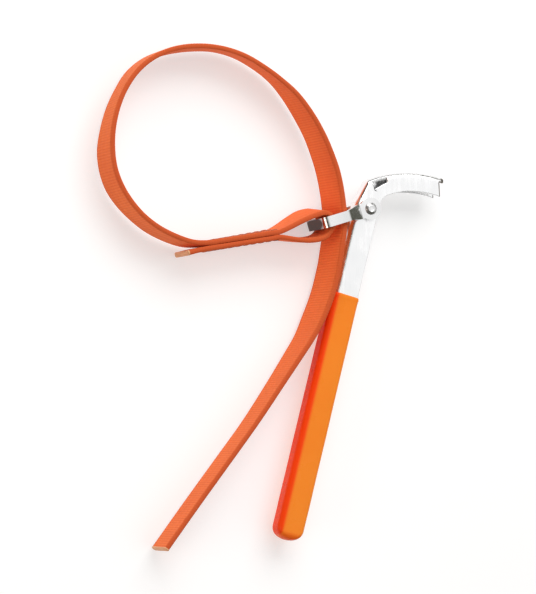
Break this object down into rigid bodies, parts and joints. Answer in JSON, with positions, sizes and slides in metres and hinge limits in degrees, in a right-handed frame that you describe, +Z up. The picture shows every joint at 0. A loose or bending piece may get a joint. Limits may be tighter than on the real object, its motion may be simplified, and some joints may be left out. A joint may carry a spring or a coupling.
{
  "type": "oil filter wrench",
  "caption": "Strap-type oil filter wrench: a channel lever with a dipped grip and curved nose, a swinging shackle, and a webbing strap that loops round the filter.",
  "frame": {"origin": "middle of the plan bounding box, on the plane of the shackle's lower arm that the wrench lies on", "axes": "+Z up, along the rivet and across the strap's width; +Y from the grip end towards the loop; +X from the loop towards the lever's nose"},
  "size_m": [0.2386, 0.3254, 0.0315],
  "materials": {
    "chrome_plate": "bright nickel-chrome plating over pressed steel sheet",
    "shackle_chrome": "bright plating over bent flat bar",
    "rivet_steel": "plated steel, satin",
    "grip_vinyl": "smooth dipped vinyl, glossy",
    "webbing": "tightly woven ribbed webbing",
    "thread": "bonded sewing thread",
    "end_seal": "matt sealed cut edge"
  },
  "bodies": {
    "lever": {"lever_channel": "chrome_plate", "grip_sleeve": "grip_vinyl", "pivot_rivet": "rivet_steel", "spacer_tube": "rivet_steel"},
    "shackle": {"shackle": "shackle_chrome"},
    "strap_loop": {"strap_loop": "webbing", "eye_stitching": "thread", "fixed_end_seal": "end_seal"},
    "strap_tail": {"strap_tail": "webbing", "tail_end_seal": "end_seal"}
  },
  "joints": [
    {"name": "shackle_pivot", "type": "hinge", "parent": "lever", "child": "shackle", "pos_m": [0.06384, 0.06075, 0.01575], "axis": [0, 0, 1], "range_deg": [-75, 0]},
    {"name": "strap_swing", "type": "hinge", "parent": "shackle", "child": "strap_loop", "pos_m": [0.02879, 0.0497, 0.01575], "axis": [0, 0, 1], "range_deg": [-5, 0]},
    {"name": "strap_feed", "type": "hinge", "parent": "strap_loop", "child": "strap_tail", "pos_m": [-0.09616, 0.04875, 0.01575], "axis": [0, 0, -1], "range_deg": [0, 8]}
  ]
}
